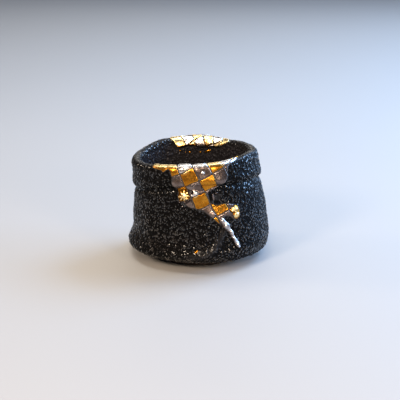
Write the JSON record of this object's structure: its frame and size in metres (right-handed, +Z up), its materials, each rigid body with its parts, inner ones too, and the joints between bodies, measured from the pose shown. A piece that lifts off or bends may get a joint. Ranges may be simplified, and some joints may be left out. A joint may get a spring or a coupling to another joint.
{
  "type": "sake cup",
  "caption": "Small hand-pinched stoneware cup in a pitted black glaze, with a thick uneven lip, a low waist, a foot ring, and raised gold and silver checks where its lip was mended.",
  "frame": {"origin": "on the table under the middle of the cup's widest outline", "axes": "+Z up through the mouth; -Y to the front, where the large mend is; +X to the right of it"},
  "size_m": [0.072, 0.0723, 0.0566],
  "materials": {
    "black_glaze": "glossy black glaze with fine worm-like pits and beads",
    "gold": "polished gold, hand-laid and slightly uneven",
    "silver": "polished silver, hand-laid and slightly uneven",
    "bare_clay": "bare dark clay on the foot"
  },
  "bodies": {
    "root": {"sake_cup": "black_glaze"}
  },
  "joints": []
}
